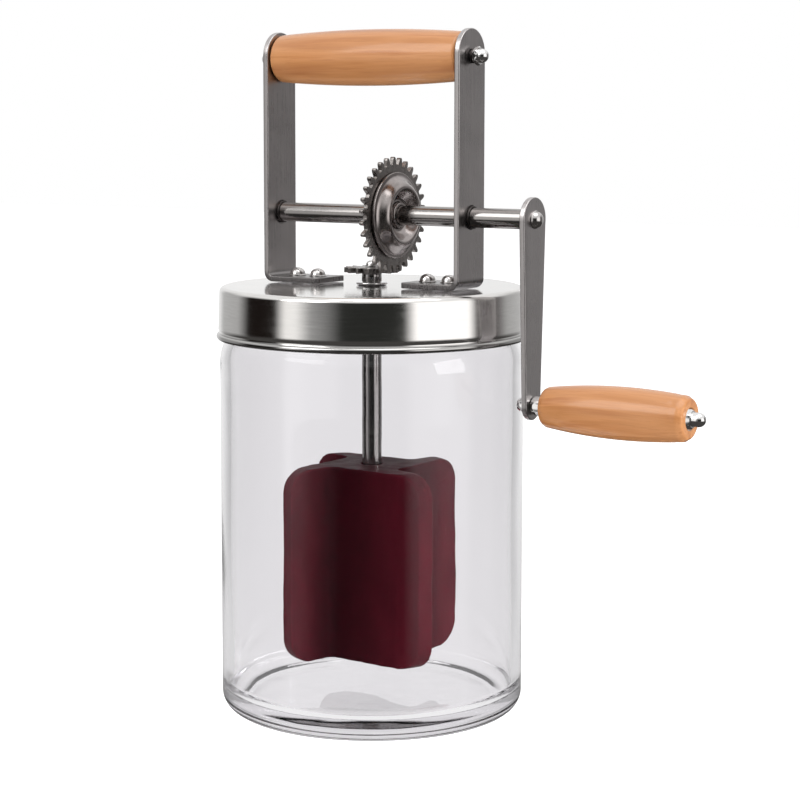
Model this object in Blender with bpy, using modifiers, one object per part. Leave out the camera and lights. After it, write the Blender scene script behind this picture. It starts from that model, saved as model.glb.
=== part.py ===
"""Hand-cranked butter churn: a glass jar whose lid carries a stand, a geared crank and a paddle.

Lengths below are millimetres and become metres (MM) where an object is made.  +Z is up, the crank
shaft lies along X, and the origin is the middle of the jar's foot.
"""

import math

import bmesh
import bpy

MM = 0.001
MERGE = 0.00001
SHARP_ANGLE = math.radians(40)
GAP = 0.3                     # clearance left between neighbouring pieces

# Overall sizes
TOTAL_HEIGHT = 240.0
LID_TOP = 151.0
JAR_RADIUS = 53.7
SHAFT_Z = 176.0               # height of the crank shaft's axis
GRIP_Z = 113.1                # height of the crank grip's axis, with the arm hanging down

# Glass jar
GLASS = 3.5
HEEL_RADIUS = 6.5
SHOULDER_Z = 124.0            # where the straight wall ends
SHOULDER_RADIUS = 19.0
SHOULDER_TURN = 42.0          # degrees that the shoulder turns inwards
FLOOR_Z = 7.2                 # the inside floor at its edge
FLOOR_RISE = (0.5, 0.8)       # how much higher the floor is half-way in, and in the middle
FLOOR_HALF_WAY = 23.0
RIM_TOP = 148.8
RIDGES = 4
RIDGE_SPAN = 58.0             # degrees
RIDGE_Z = 142.0
RIDGE_RISE = 3.0
RIDGE_RADIUS = 1.2

# Lid and its seal
SHEET = 0.8
LID_EDGE = 2.0                # rounding of the lid's top edge
SKIRT_TOP_RADIUS = 53.8
SKIRT_RADIUS = 54.2
BEAD_RADIUS = 1.1
LID_BOTTOM = 132.5
LID_HOLE = 5.2
SEAL_THICKNESS = 0.8

# Stand
BAR = 2.0                     # thickness of the flat bars
BAR_WIDTH = 17.2
STAND_X = 40.8                # outer faces of the uprights
FOOT_END = 17.3
BEND_RADIUS = 3.5
RIVET_X = (23.2, 32.0)
RIVET_SHANK = 1.8
RIVET_RIM = 3.1
RIVET_DOME = 2.4
RIVET_PLAY = 0.25             # around the crank's rivet in the shaft's end
HANDLE_Z = 230.6
HANDLE_END_RADIUS = 8.4
HANDLE_MID_RADIUS = 9.8
SPACER = 1.0
SPACER_RADIUS = 2.5
LOCK_NUT = 3.6
END_NUT = 7.0
ROD_RADIUS = 1.5              # the threaded rods through both grips
HEX_RADIUS = 3.25             # from the middle of their nuts to a corner

# Crank shaft and its bushes
SHAFT_RADIUS = 3.4
GROOVE_RADIUS = 2.9
SHAFT_LEFT = -40.6            # just inside the left upright's outer face
BUSH_BORE = 3.56
BUSH_RADIUS = 3.95
RING_WIDTH = 0.7
RING_RADIUS = 3.9

# Gear wheel and pinion
WHEEL_TEETH = 30
WHEEL_TIP = 20.3
WHEEL_ROOT = 17.6
WHEEL_TOOTH = (2.3, 1.6, 0.8)  # tooth widths at the root, shoulder and tip
WHEEL_X = 8.8                 # middle of the toothed plate
WHEEL_PLATE = 1.6
DISH_RADIUS = 15.0
DISH_CREST = 9.7              # radius of the bulge's crest
DISH_BULGE = 3.4
DISH_SHEET = 0.9
DISH_SPREAD = 4.5             # how far the bulge reaches from its crest
HUB_SPIGOT = 4.6
HUB_FLANGE = 6.4
PINION_TEETH = 14
PINION_TIP = 9.8
PINION_ROOT = 6.7
PINION_TOOTH = (1.5, 1.25, 0.7)
PINION_Z = 156.6
PINION_PLATE = 1.9

# Crank arm and grip
ARM_X = 65.6                  # outer face
ARM_TOP_RADIUS = 7.5
ARM_END_RADIUS = 4.9
GRIP_START = 70.3
GRIP_END = 123.7
GRIP_BORE = 2.2
RECESS_RADIUS = 3.7
RECESS_DEPTH = 2.2
PIN_TIP_X = 129.0

# Beater
BEATER_RADIUS = 3.5
BEATER_SHOULDER = 155.35
THRUST_RADIUS = 5.5
RETAINER_RADIUS = 5.2
COLLAR = 0.8                  # thickness of the thrust and retaining rings
LID_BUSH_FLANGE = 8.0
LID_BUSH_SHEET = 1.2
SPIGOT_RADIUS = 1.2
PADDLE_TOP = 87.8
PADDLE_BOTTOM = 19.2
PADDLE_RADIUS = 34.5
PADDLE_CORNER = 9.0
PADDLE_ANGLE = -26.5          # direction of the first vane, degrees about Z
VANES = 4
VANE_LEFT = 4.2               # the vane's end face, to each side of its own centre line
VANE_RIGHT = -2.0
VANE_ROOT = 16.5              # radius where a vane leaves its neighbour's broad root
SOCKET_DEPTH = 38.0
OVERCUT = 5.0                 # how far a cutter runs past what it cuts

JAR_STEPS = 36
MID_STEPS = 20
PIN_STEPS = 16
HOLE_TURN = math.radians(6)   # keeps the corners of round holes off the facet edges of what they cut
LIE_ALONG_X = (0, math.radians(90), 0)
LIE_FACING_Y = (math.radians(90), 0, 0)


def clear_scene():
    for obj in list(bpy.data.objects):
        bpy.data.objects.remove(obj, do_unlink=True)


def new_collection(name):
    collection = bpy.data.collections.new(name)
    bpy.context.scene.collection.children.link(collection)
    return collection


def principled(name, colour, metallic, roughness, alpha=1.0):
    material = bpy.data.materials.new(name)
    material.use_nodes = True
    shader = material.node_tree.nodes["Principled BSDF"]
    shader.inputs["Base Color"].default_value = (*colour, 1.0)
    shader.inputs["Metallic"].default_value = metallic
    shader.inputs["Roughness"].default_value = roughness
    shader.inputs["Alpha"].default_value = alpha
    material.diffuse_color = (*colour, alpha)
    return material


# ---------------------------------------------------------------- shapes

def arc(centre_x, centre_y, radius, start, end, pieces):
    """Points of an arc, both ends included; angles in degrees."""
    turns = [math.radians(start + (end - start) * i / pieces) for i in range(pieces + 1)]
    return [(centre_x + radius * math.cos(t), centre_y + radius * math.sin(t)) for t in turns]


def circle(radius, pieces, centre_x=0.0, centre_y=0.0):
    return arc(centre_x, centre_y, radius, 0, 360, pieces)[:-1]


def baked(source, name, material, collection):
    """The evaluated shape of source, welded, as a mesh object; source is removed."""
    source.data.name = name + "_draft"
    graph = bpy.context.evaluated_depsgraph_get()
    mesh = bpy.data.meshes.new_from_object(source.evaluated_get(graph))
    bpy.data.objects.remove(source, do_unlink=True)
    form = bmesh.new()
    form.from_mesh(mesh)
    bmesh.ops.remove_doubles(form, verts=form.verts, dist=MERGE)
    bmesh.ops.recalc_face_normals(form, faces=form.faces)
    form.to_mesh(mesh)
    form.free()
    mesh.name = name
    mesh.shade_smooth()
    mesh.set_sharp_from_angle(angle=SHARP_ANGLE)
    mesh.materials.clear()
    mesh.materials.append(material)
    piece = bpy.data.objects.new(name, mesh)
    collection.objects.link(piece)
    return piece


def turned(name, profile, material, collection, steps=MID_STEPS, ring=False):
    """Turns (radius, height) points about local Z; a ring's profile is closed and misses the axis."""
    points = [(radius * MM, 0.0, height * MM) for radius, height in profile]
    edges = [(i, i + 1) for i in range(len(points) - 1)]
    if ring:
        edges.append((len(points) - 1, 0))
    mesh = bpy.data.meshes.new(name)
    mesh.from_pydata(points, edges, [])
    blank = bpy.data.objects.new(name + "_blank", mesh)
    bpy.context.scene.collection.objects.link(blank)
    screw = blank.modifiers.new("turn", "SCREW")
    screw.axis = "Z"
    screw.steps = steps
    screw.render_steps = steps
    screw.use_merge_vertices = True
    screw.merge_threshold = MERGE
    return baked(blank, name, material, collection)


def plate(name, outlines, thickness, material, collection):
    """A flat plate in local XY, centred on local Z = 0; outlines after the first are holes."""
    curve = bpy.data.curves.new(name, "CURVE")
    curve.dimensions = "2D"
    curve.fill_mode = "BOTH"
    curve.extrude = thickness * MM / 2
    for outline in outlines:
        spline = curve.splines.new("POLY")
        spline.points.add(len(outline) - 1)
        for point, (x, y) in zip(spline.points, outline):
            point.co = (x * MM, y * MM, 0.0, 1.0)
        spline.use_cyclic_u = True
    blank = bpy.data.objects.new(name + "_blank", curve)
    bpy.context.scene.collection.objects.link(blank)
    return baked(blank, name, material, collection)


def tube_along(name, points, radius, material, collection):
    """A round bar along points, with closed ends."""
    curve = bpy.data.curves.new(name, "CURVE")
    curve.dimensions = "3D"
    curve.bevel_depth = radius * MM
    curve.bevel_resolution = 1
    curve.use_fill_caps = True
    spline = curve.splines.new("POLY")
    spline.points.add(len(points) - 1)
    for point, (x, y, z) in zip(spline.points, points):
        point.co = (x * MM, y * MM, z * MM, 1.0)
    blank = bpy.data.objects.new(name + "_blank", curve)
    bpy.context.scene.collection.objects.link(blank)
    return baked(blank, name, material, collection)


def place(piece, parent, x, y, z, rotation=(0, 0, 0)):
    """Puts a piece at world millimetres x, y, z under parent."""
    piece.rotation_euler = rotation
    piece.location = (x * MM, y * MM, z * MM)
    if parent:
        piece.parent = parent
        piece.location = [there - here for there, here in zip(piece.location, parent.location)]
    return piece


def axis_empty(name, z, collection):
    """An empty on a joint's axis; the moving pieces hang under it."""
    empty = bpy.data.objects.new(name, None)
    empty.empty_display_size = 10 * MM
    empty.location = (0, 0, z * MM)
    collection.objects.link(empty)
    return empty


def as_cutter(piece):
    piece.hide_render = True
    piece.display_type = "WIRE"
    return piece


def combine(piece, operation, other):
    """Adds an exact Boolean of piece with other."""
    step = piece.modifiers.new(operation.lower(), "BOOLEAN")
    step.operation = operation
    step.solver = "EXACT"
    step.object = as_cutter(other)


# ---------------------------------------------------------------- jar and seal

def neck_outer():
    return JAR_RADIUS - SHOULDER_RADIUS + SHOULDER_RADIUS * math.cos(math.radians(SHOULDER_TURN))


def neck_inner():
    inner_shoulder = SHOULDER_RADIUS - GLASS
    return JAR_RADIUS - SHOULDER_RADIUS + inner_shoulder * math.cos(math.radians(SHOULDER_TURN))


def jar_profile():
    centre = JAR_RADIUS - SHOULDER_RADIUS
    inside_heel = HEEL_RADIUS - 1.5
    rim_radius = (neck_outer() - neck_inner()) / 2
    rim_middle = (neck_outer() + neck_inner()) / 2
    half_way_rise, middle_rise = FLOOR_RISE
    inside = [(0, FLOOR_Z + middle_rise), (FLOOR_HALF_WAY, FLOOR_Z + half_way_rise)]
    inside += arc(JAR_RADIUS - GLASS - inside_heel, FLOOR_Z + inside_heel, inside_heel, -90, 0, 4)
    inside += arc(centre, SHOULDER_Z, SHOULDER_RADIUS - GLASS, 0, SHOULDER_TURN, 4)
    rim = arc(rim_middle, RIM_TOP - rim_radius, rim_radius, 180, 0, 4)
    outside = arc(centre, SHOULDER_Z, SHOULDER_RADIUS, SHOULDER_TURN, 0, 4)
    outside += arc(JAR_RADIUS - HEEL_RADIUS, HEEL_RADIUS, HEEL_RADIUS, 0, -90, 5)
    return inside + rim + outside + [(0, 0)]


def ridge_points(start):
    """A short slanted thread ridge around the neck, from start degrees."""
    pieces = 6
    points = []
    for i in range(pieces + 1):
        turn = math.radians(start + RIDGE_SPAN * i / pieces)
        radius = neck_outer() - 0.2
        height = RIDGE_Z + RIDGE_RISE * i / pieces
        points.append((radius * math.cos(turn), radius * math.sin(turn), height))
    return points


def make_jar(parts, cutters, paint):
    jar = turned("glass_jar", jar_profile(), paint["glass"], parts, JAR_STEPS)
    for i in range(RIDGES):
        start = 360 / RIDGES * i
        ridge = tube_along(f"ridge_{i}", ridge_points(start), RIDGE_RADIUS, paint["glass"], cutters)
        combine(jar, "UNION", ridge)


def make_seal(parts, paint):
    top = LID_TOP - SHEET - GAP
    inner = neck_inner() - 0.5
    outer = neck_outer() + 2.5
    profile = [(inner, top), (outer, top), (outer, top - SEAL_THICKNESS), (inner, top - SEAL_THICKNESS)]
    turned("lid_gasket", profile, paint["seal"], parts, JAR_STEPS, ring=True)


# ---------------------------------------------------------------- lid and stand

def lid_profile():
    bead_x = SKIRT_RADIUS + 0.7 - BEAD_RADIUS
    bead_z = LID_BOTTOM + BEAD_RADIUS
    inner_edge = LID_EDGE - SHEET
    outside = [(LID_HOLE, LID_TOP), (SKIRT_TOP_RADIUS - 10, LID_TOP)]
    outside += arc(SKIRT_TOP_RADIUS - LID_EDGE, LID_TOP - LID_EDGE, LID_EDGE, 90, 0, 3)
    outside += [(SKIRT_RADIUS, bead_z + BEAD_RADIUS + 0.4)]
    bead = arc(bead_x, bead_z, BEAD_RADIUS, 60, -120, 5)
    inside = [(SKIRT_RADIUS - SHEET, bead_z + BEAD_RADIUS)]
    inside += arc(SKIRT_TOP_RADIUS - LID_EDGE, LID_TOP - LID_EDGE, inner_edge, 0, 90, 2)
    inside += [(SKIRT_TOP_RADIUS - 10, LID_TOP - SHEET), (LID_HOLE, LID_TOP - SHEET)]
    return outside + bead + inside


def rivet_spots():
    """(name, x) of the rivets that hold the two feet."""
    inner, outer = RIVET_X
    return [("left_outer", -outer), ("left_inner", -inner), ("right_inner", inner), ("right_outer", outer)]


def rivet_hole():
    radius = RIVET_SHANK + GAP
    return [(0, OVERCUT), (radius, OVERCUT), (radius, -OVERCUT), (0, -OVERCUT)]


def make_lid(parts, cutters, paint, lid_axis):
    lid = turned("lid_shell", lid_profile(), paint["polished"], parts, JAR_STEPS, ring=True)
    place(lid, lid_axis, 0, 0, 0)
    for name, x in rivet_spots():
        hole = turned(f"lid_hole_{name}", rivet_hole(), paint["polished"], cutters, PIN_STEPS)
        place(hole, lid_axis, x, 0, LID_TOP, (0, 0, HOLE_TURN))
        combine(lid, "DIFFERENCE", hole)


def upright_section():
    """Side view of a bar bent into a foot: x outwards, y up."""
    bottom = LID_TOP + GAP
    bend_x = STAND_X - BEND_RADIUS
    bend_z = bottom + BEND_RADIUS
    outer = [(FOOT_END, bottom)] + arc(bend_x, bend_z, BEND_RADIUS, -90, 0, 4)
    outer += [(STAND_X, TOTAL_HEIGHT + OVERCUT), (STAND_X - BAR, TOTAL_HEIGHT + OVERCUT)]
    inner = arc(bend_x, bend_z, BEND_RADIUS - BAR, 0, -90, 3)
    return outer + inner + [(FOOT_END, bottom + BAR)]


def upright_face():
    """Front view of a bar with its rounded top: x downwards from the shaft's axis, y sideways."""
    half = BAR_WIDTH / 2
    top = arc(half - (TOTAL_HEIGHT - SHAFT_Z), 0, half, 90, 270, 10)
    bottom = SHAFT_Z - LID_TOP + OVERCUT
    return top + [(bottom, -half), (bottom, half)]


def make_upright(side, name, parts, cutters, paint, lid_axis):
    """One bar of the stand; side is +1 at the crank and -1 away from it."""
    section = [(side * x, y) for x, y in upright_section()]
    bar = plate(name, [section], BAR_WIDTH + 6, paint["steel"], parts)
    place(bar, lid_axis, 0, 0, 0, LIE_FACING_Y)
    holes = [circle(BUSH_RADIUS + GAP, PIN_STEPS),
             circle(ROD_RADIUS + GAP, PIN_STEPS, SHAFT_Z - HANDLE_Z)]
    face = plate(name + "_face", [upright_face()] + holes, STAND_X, paint["steel"], cutters)
    place(face, lid_axis, side * (FOOT_END - 2 + STAND_X / 2), 0, SHAFT_Z, LIE_ALONG_X)
    combine(bar, "INTERSECT", face)
    for spot, x in rivet_spots():
        if x * side > 0:
            hole = turned(f"foot_hole_{spot}", rivet_hole(), paint["steel"], cutters, PIN_STEPS)
            place(hole, lid_axis, x, 0, LID_TOP + BAR, (0, 0, HOLE_TURN))
            combine(bar, "DIFFERENCE", hole)


def rivet_profile(under_head, tail_top):
    """Domed head with a flat rim, shank, and a flattened tail."""
    head = [(0, under_head + 2.0)] + arc(0, under_head + 0.5, RIVET_DOME, 60, 15, 2)
    head += [(RIVET_RIM, under_head + 0.45), (RIVET_RIM, under_head)]
    shank = [(RIVET_SHANK, under_head), (RIVET_SHANK, tail_top)]
    tail = [(2.8, tail_top), (2.6, tail_top - 0.9), (0, tail_top - 1.1)]
    return head + shank + tail


def make_rivets(parts, paint, lid_axis):
    foot_top = LID_TOP + GAP + BAR
    profile = rivet_profile(foot_top + GAP, LID_TOP - SHEET - GAP)
    for name, x in rivet_spots():
        rivet = turned(f"foot_rivet_{name}", profile, paint["bright"], parts, PIN_STEPS)
        place(rivet, lid_axis, x, 0, 0)


def make_shaft_bush(name, upright_right_face, parts, paint, lid_axis):
    """Plain sleeve pressed through an upright, flush with both of its faces."""
    right = upright_right_face
    left = upright_right_face - BAR
    profile = [(BUSH_BORE, right), (BUSH_RADIUS, right), (BUSH_RADIUS, left), (BUSH_BORE, left)]
    bush = turned(name, profile, paint["dark"], parts, PIN_STEPS, ring=True)
    place(bush, lid_axis, 0, 0, SHAFT_Z, LIE_ALONG_X)


def handle_profile():
    half = STAND_X - BAR - 0.5
    bulge = HANDLE_MID_RADIUS - HANDLE_END_RADIUS
    pieces = 10
    side = []
    for i in range(pieces + 1):
        t = 1 - 2 * i / pieces
        side.append((HANDLE_END_RADIUS + bulge * (1 - t * t), t * (half - 1.2)))
    bore = ROD_RADIUS + GAP
    end = HANDLE_END_RADIUS - 1.3
    return [(bore, half), (end, half)] + side + [(end, -half), (bore, -half)]


def cap_nut(name, hex_length, total_length, parts, cutters, paint, parent, x, z, side):
    """Domed nut along X with its seat at x; side is the way its dome points."""
    dome = 2.4
    bore = ROD_RADIUS + 0.25
    depth = total_length - dome + 0.2
    neck = dome - 0.2
    profile = [(0, total_length)] + arc(0, total_length - dome, dome, 70, 0, 4)
    profile += [(neck, total_length - dome - 0.1), (neck, hex_length), (HEX_RADIUS, hex_length)]
    profile += [(HEX_RADIUS, 0), (bore, 0), (bore, depth), (0, depth)]
    nut = turned(name, profile, paint["bright"], parts, PIN_STEPS)
    blank = plate(name + "_hex", [circle(HEX_RADIUS, 6)], 3 * total_length, paint["bright"], cutters)
    combine(nut, "INTERSECT", blank)
    for piece in (nut, blank):
        place(piece, parent, x, 0, z, (0, side * math.radians(90), 0))


def washer(name, inner, outer, thickness, material, parts, parent, x, z):
    """Flat ring along X, centred at x."""
    half = thickness / 2
    profile = [(inner, half), (outer, half), (outer, -half), (inner, -half)]
    ring = turned(name, profile, material, parts, PIN_STEPS, ring=True)
    place(ring, parent, x, 0, z, LIE_ALONG_X)


def make_handle(parts, cutters, paint, lid_axis):
    grip = turned("handle_grip", handle_profile(), paint["wood"], parts, MID_STEPS, ring=True)
    place(grip, lid_axis, 0, 0, HANDLE_Z, LIE_ALONG_X)
    seat = STAND_X + GAP
    nut_seat = seat + SPACER + GAP
    end = nut_seat + 1.6
    rod = turned("handle_rod", [(0, end), (ROD_RADIUS, end), (ROD_RADIUS, -end), (0, -end)],
                 paint["steel"], parts, PIN_STEPS)
    place(rod, lid_axis, 0, 0, HANDLE_Z, LIE_ALONG_X)
    for side, name in ((1, "right"), (-1, "left")):
        washer(f"handle_spacer_{name}", ROD_RADIUS + GAP, SPACER_RADIUS, SPACER, paint["dark"], parts,
               lid_axis, side * (seat + SPACER / 2), HANDLE_Z)
        cap_nut(f"handle_nut_{name}", 1.6, 4.5, parts, cutters, paint, lid_axis, side * nut_seat, HANDLE_Z,
                side)


def make_lid_bush(parts, paint, lid_axis):
    """Flanged sleeve in the lid's middle hole, put in from below."""
    bore = BEATER_RADIUS + 0.16
    sleeve = LID_HOLE - GAP
    top = LID_TOP + 0.15
    under = LID_TOP - SHEET - GAP
    bottom = under - LID_BUSH_SHEET
    profile = [(bore, top), (sleeve, top), (sleeve, under), (LID_BUSH_FLANGE, under),
               (LID_BUSH_FLANGE, bottom), (bore, bottom)]
    bush = turned("lid_bush", profile, paint["dark"], parts, PIN_STEPS, ring=True)
    place(bush, lid_axis, 0, 0, 0)


# ---------------------------------------------------------------- crank

def groove(high, low):
    """Shaft profile points of a ring groove between two places."""
    return [(SHAFT_RADIUS, high), (GROOVE_RADIUS, high), (GROOVE_RADIUS, low), (SHAFT_RADIUS, low)]


def ring_spots():
    """Middles of the two thin rings beside the uprights, from right to left."""
    offset = GAP + RING_WIDTH / 2
    right = STAND_X + offset
    left = -STAND_X + BAR + offset
    return [("shaft_ring_right", right), ("shaft_ring_left", left)]


def make_crank_shaft(parts, paint, crank_axis):
    end = ARM_X - BAR - GAP
    socket = RIVET_SHANK + RIVET_PLAY
    socket_end = end - 5.5
    chamfer = 0.4
    reach = RING_WIDTH / 2 + 0.2
    profile = [(0, socket_end), (socket, socket_end), (socket, end), (SHAFT_RADIUS - chamfer, end),
               (SHAFT_RADIUS, end - chamfer)]
    for name, x in ring_spots():
        profile += groove(x + reach, x - reach)
    profile += [(SHAFT_RADIUS, SHAFT_LEFT + chamfer), (SHAFT_RADIUS - chamfer, SHAFT_LEFT), (0, SHAFT_LEFT)]
    shaft = turned("crank_shaft", profile, paint["steel"], parts, MID_STEPS)
    place(shaft, crank_axis, 0, 0, SHAFT_Z, LIE_ALONG_X)
    for name, x in ring_spots():
        washer(name, GROOVE_RADIUS + 0.2, RING_RADIUS, RING_WIDTH, paint["dark"], parts, crank_axis, x,
               SHAFT_Z)


def toothed_outline(teeth, root, tip, widths, first):
    """Rounded teeth around a circle; first is the angle of the first tooth's middle, in degrees."""
    root_width, shoulder_width, tip_width = widths
    shoulder = root + 0.72 * (tip - root)
    stations = [(root, -root_width), (shoulder, -shoulder_width), (tip, -tip_width), (tip, tip_width),
                (shoulder, shoulder_width), (root, root_width)]
    outline = []
    for i in range(teeth):
        middle = math.radians(first + 360 * i / teeth)
        for radius, width in stations:
            turn = middle + width / 2 / radius
            outline.append((radius * math.cos(turn), radius * math.sin(turn)))
    return outline


def make_drive_gear(parts, paint, crank_axis):
    outline = toothed_outline(WHEEL_TEETH, WHEEL_ROOT, WHEEL_TIP, WHEEL_TOOTH, 0)
    hole = circle(HUB_SPIGOT + GAP, MID_STEPS)
    wheel = plate("drive_gear", [outline, hole], WHEEL_PLATE, paint["burnished"], parts)
    place(wheel, crank_axis, WHEEL_X, 0, SHAFT_Z, LIE_ALONG_X)


def dish_height(radius):
    """Height of the dish's front above its flat rim."""
    away = abs(radius - DISH_CREST)
    if away >= DISH_SPREAD:
        return 0.0
    return DISH_BULGE * (1 + math.cos(math.pi * away / DISH_SPREAD)) / 2


def make_gear_dish(parts, paint, crank_axis):
    inner = HUB_SPIGOT + GAP
    pieces = 8
    front = []
    for i in range(pieces + 1):
        radius = inner + 0.6 + (DISH_RADIUS - 1.0 - inner - 0.6) * i / pieces
        front.append((radius, DISH_SHEET + dish_height(radius)))
    back = [(radius, height - DISH_SHEET) for radius, height in reversed(front)]
    rim = [(DISH_RADIUS, DISH_SHEET), (DISH_RADIUS, 0)]
    profile = [(inner, DISH_SHEET)] + front + rim + back + [(inner, 0)]
    dish = turned("gear_dish", profile, paint["burnished"], parts, MID_STEPS + 4, ring=True)
    place(dish, crank_axis, WHEEL_X + WHEEL_PLATE / 2 + GAP, 0, SHAFT_Z, LIE_ALONG_X)


def make_gear_hub(parts, paint, crank_axis):
    bore = SHAFT_RADIUS + 0.2
    back = WHEEL_X - WHEEL_PLATE / 2 - GAP
    front = WHEEL_X + WHEEL_PLATE / 2 + GAP + DISH_SHEET + 1.6
    profile = [(bore, front), (HUB_SPIGOT - 0.5, front), (HUB_SPIGOT, front - 0.5), (HUB_SPIGOT, back),
               (HUB_FLANGE, back), (HUB_FLANGE, back - 1.6), (HUB_FLANGE - 0.5, back - 2.1),
               (bore, back - 2.1)]
    hub = turned("gear_hub", profile, paint["burnished"], parts, PIN_STEPS + 4, ring=True)
    place(hub, crank_axis, 0, 0, SHAFT_Z, LIE_ALONG_X)


def arm_outline():
    """Tapered arm in plate coordinates: x downwards from the shaft's axis, y sideways."""
    throw = SHAFT_Z - GRIP_Z
    lean = math.degrees(math.asin((ARM_TOP_RADIUS - ARM_END_RADIUS) / throw))
    top = arc(0, 0, ARM_TOP_RADIUS, 90 - lean, 270 + lean, 12)
    end = arc(throw, 0, ARM_END_RADIUS, -90 + lean, 90 - lean, 8)
    return top + end


def make_crank_arm(parts, paint, crank_axis):
    throw = SHAFT_Z - GRIP_Z
    holes = [circle(RIVET_SHANK + GAP, PIN_STEPS), circle(ROD_RADIUS + GAP, PIN_STEPS, throw)]
    arm = plate("crank_arm", [arm_outline()] + holes, BAR, paint["steel"], parts)
    place(arm, crank_axis, ARM_X - BAR / 2, 0, SHAFT_Z, LIE_ALONG_X)


def make_crank_rivet(parts, paint, crank_axis):
    """Domed rivet through the arm into the shaft's end."""
    under = ARM_X + GAP
    tail = under - 7
    profile = [(0, under + 1.9)] + arc(0, under + 0.3, RIVET_DOME, 60, 15, 2)
    profile += [(RIVET_RIM, under + 0.4), (RIVET_RIM, under), (RIVET_SHANK, under), (RIVET_SHANK, tail)]
    profile += [(0, tail)]
    rivet = turned("crank_rivet", profile, paint["bright"], parts, PIN_STEPS)
    place(rivet, crank_axis, 0, 0, SHAFT_Z, LIE_ALONG_X)


def make_grip_pin(parts, cutters, paint, crank_axis):
    """Bolt through the arm and the grip, its cap nuts, and the hex nut that locks it to the arm."""
    end_seat = PIN_TIP_X - END_NUT
    inner_seat = ARM_X - BAR - GAP
    outer_end = end_seat + 4.2
    inner_end = inner_seat - 1.7
    pin = [(0, outer_end), (ROD_RADIUS, outer_end), (ROD_RADIUS, inner_end), (0, inner_end)]
    place(turned("grip_bolt", pin, paint["steel"], parts, PIN_STEPS), crank_axis, 0, 0, GRIP_Z, LIE_ALONG_X)
    cap_nut("grip_end_nut", 2.6, END_NUT, parts, cutters, paint, crank_axis, end_seat, GRIP_Z, 1)
    cap_nut("grip_bolt_nut", 1.5, 4.2, parts, cutters, paint, crank_axis, inner_seat, GRIP_Z, -1)
    outlines = [circle(HEX_RADIUS, 6), circle(ROD_RADIUS + GAP, PIN_STEPS)]
    lock_nut = plate("grip_lock_nut", outlines, LOCK_NUT, paint["bright"], parts)
    place(lock_nut, crank_axis, ARM_X + GAP + LOCK_NUT / 2, 0, GRIP_Z, LIE_ALONG_X)


def grip_radius(t):
    """Radius of the crank grip at t from 0 at the arm to 1 at the outer end."""
    return 6.7 + 0.7 * t + 4 * 1.8 * t * (1 - t)


def make_crank_grip(parts, paint, grip_axis):
    length = GRIP_END - GRIP_START
    floor = GRIP_END - RECESS_DEPTH
    pieces = 10
    profile = [(GRIP_BORE, floor), (RECESS_RADIUS, floor), (RECESS_RADIUS, GRIP_END)]
    profile += [(grip_radius(1) - 1.2, GRIP_END), (grip_radius(1) - 0.3, GRIP_END - 0.5)]
    for i in range(pieces + 1):
        t = 0.975 - 0.945 * i / pieces
        profile.append((grip_radius(t), GRIP_START + t * length))
    profile += [(grip_radius(0) - 1.6, GRIP_START), (GRIP_BORE, GRIP_START)]
    grip = turned("crank_grip", profile, paint["wood"], parts, MID_STEPS, ring=True)
    place(grip, grip_axis, 0, 0, GRIP_Z, LIE_ALONG_X)


# ---------------------------------------------------------------- beater

def collar_groove(high, low):
    neck = BEATER_RADIUS - 0.5
    return [(BEATER_RADIUS, high), (neck, high), (neck, low), (BEATER_RADIUS, low)]


def make_beater_shaft(parts, paint, beater_axis):
    thrust = LID_TOP + 0.15 + GAP
    ring = LID_TOP - SHEET - 2 * GAP - LID_BUSH_SHEET
    bottom = PADDLE_TOP - SOCKET_DEPTH + GAP
    tip = PINION_Z + PINION_PLATE / 2 + 1.5
    profile = [(0, tip), (SPIGOT_RADIUS, tip), (SPIGOT_RADIUS, BEATER_SHOULDER)]
    profile += [(BEATER_RADIUS, BEATER_SHOULDER)]
    profile += collar_groove(thrust + 1.0, thrust - 0.2) + collar_groove(ring + 0.2, ring - 1.0)
    profile += [(BEATER_RADIUS, bottom), (0, bottom)]
    shaft = turned("beater_shaft", profile, paint["steel"], parts, PIN_STEPS)
    place(shaft, beater_axis, 0, 0, 0)
    bore = BEATER_RADIUS - 0.25
    for name, outer, low in (("thrust_ring", THRUST_RADIUS, thrust),
                             ("retaining_ring", RETAINER_RADIUS, ring - COLLAR)):
        collar = [(bore, low + COLLAR), (outer, low + COLLAR), (outer, low), (bore, low)]
        ring_piece = turned(name, collar, paint["bright"], parts, PIN_STEPS + 4, ring=True)
        place(ring_piece, beater_axis, 0, 0, 0)


def make_pinion(parts, paint, beater_axis):
    gap_at_wheel = 180 / PINION_TEETH
    outline = toothed_outline(PINION_TEETH, PINION_ROOT, PINION_TIP, PINION_TOOTH, gap_at_wheel)
    hole = circle(SPIGOT_RADIUS + GAP, PIN_STEPS)
    pinion = plate("pinion", [outline, hole], PINION_PLATE, paint["burnished"], parts)
    place(pinion, beater_axis, 0, 0, PINION_Z)
    seat = PINION_Z + PINION_PLATE / 2 + GAP
    bore = SPIGOT_RADIUS + 0.25
    dome = [(0, seat + 2.2)] + arc(0, seat + 0.1, 2.1, 65, 15, 3)
    dome += [(2.4, seat + 0.5), (2.4, seat), (bore, seat), (bore, seat + 1.6), (0, seat + 1.6)]
    nut = turned("pinion_nut", dome, paint["bright"], parts, PIN_STEPS)
    place(nut, beater_axis, 0, 0, 0)


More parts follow.
